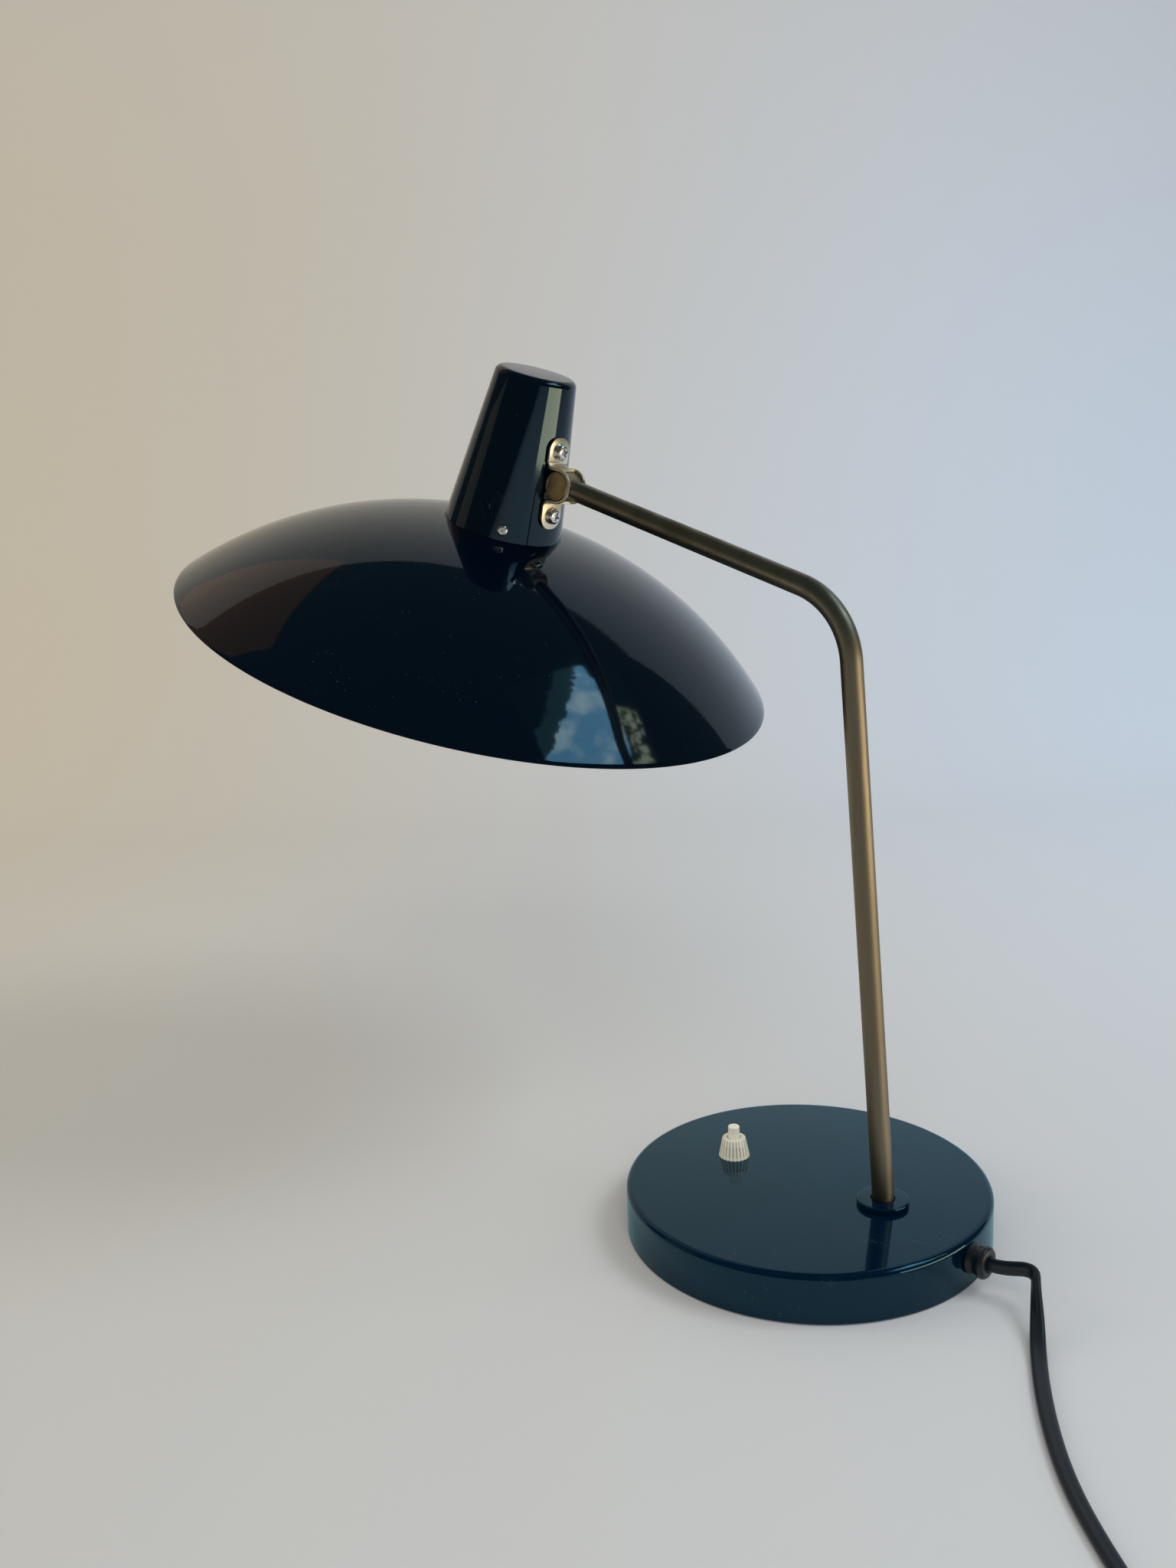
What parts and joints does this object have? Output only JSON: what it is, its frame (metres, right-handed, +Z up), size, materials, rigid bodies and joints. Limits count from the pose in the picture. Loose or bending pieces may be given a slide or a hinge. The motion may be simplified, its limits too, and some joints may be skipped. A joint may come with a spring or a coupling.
{
  "type": "desk lamp",
  "caption": "Desk lamp with a wide shallow shade that tilts on a bent tube arm, a round weighted base with a push switch, and its cord and plug.",
  "frame": {"origin": "centre of the base's felt, on the table", "axes": "+Z up; the arm lies in the XZ plane and the shade reaches towards -X; +Y completes the frame"},
  "size_m": [0.6744, 0.4158, 0.4153],
  "materials": {
    "enamel": "gloss black enamel with small scratches",
    "iron": "rough cast",
    "steel": "plain sheet",
    "felt": "dark green felt",
    "tube": "aged nickel over brass, dull olive",
    "barrel": "dark aged brass",
    "strap": "pale nickel over brass",
    "screw": "bright zinc",
    "ivory": "ivory plastic",
    "grommet": "black rubber",
    "cord": "dark navy cord",
    "bakelite": "black moulded plastic",
    "porcelain": "glazed white",
    "brass": "bright",
    "glass": "opal white",
    "wire": "insulated single wires"
  },
  "bodies": {
    "stand": {"base_shell": "enamel", "base_weight": "iron", "base_plate": "steel", "base_felt": "felt", "plate_screws": "screw", "foot_flange": "enamel", "foot_washer": "steel", "foot_nut": "steel", "arm_tube": "tube", "pivot_barrel": "barrel", "switch_body": "ivory", "switch_floor": "bakelite", "switch_terminals": "brass", "switch_spring": "steel", "switch_collar": "ivory", "cord_grommet": "grommet", "cord_clip": "steel", "clip_screw": "screw", "terminal_block": "bakelite", "base_lead": "cord", "switch_wires": "wire", "arm_wires": "wire", "cord_tube": "cord", "cord_coil": "cord", "plug_body": "bakelite", "plug_pins": "brass"},
    "head": {"pivot_strap": "strap", "strap_screws": "screw", "strap_washers": "screw", "holder_bracket": "steel", "cap_shell": "enamel", "cap_screws": "screw", "neck_nuts": "steel", "shade_bowl": "enamel", "holder_nipple": "steel", "nipple_nut": "steel", "holder_cover": "bakelite", "holder_sleeve": "bakelite", "holder_insert": "porcelain", "screw_shell": "brass", "centre_contact": "brass", "bulb_glass": "glass", "bulb_base": "brass", "bulb_tip": "brass", "holder_wires": "wire"},
    "button": {"switch_button": "ivory"}
  },
  "joints": [
    {"name": "head_tilt", "type": "hinge", "parent": "stand", "child": "head", "pos_m": [-0.13706, 0, 0.35257], "axis": [0, 1, 0], "range_deg": [-30, 35]},
    {"name": "switch_press", "type": "slide", "parent": "stand", "child": "button", "axis": [0, 0, -1], "range_m": [0, 0.003], "stiffness_N_per_m": 600, "springref_m": -0.002, "deforming": ["switch_spring"]}
  ]
}
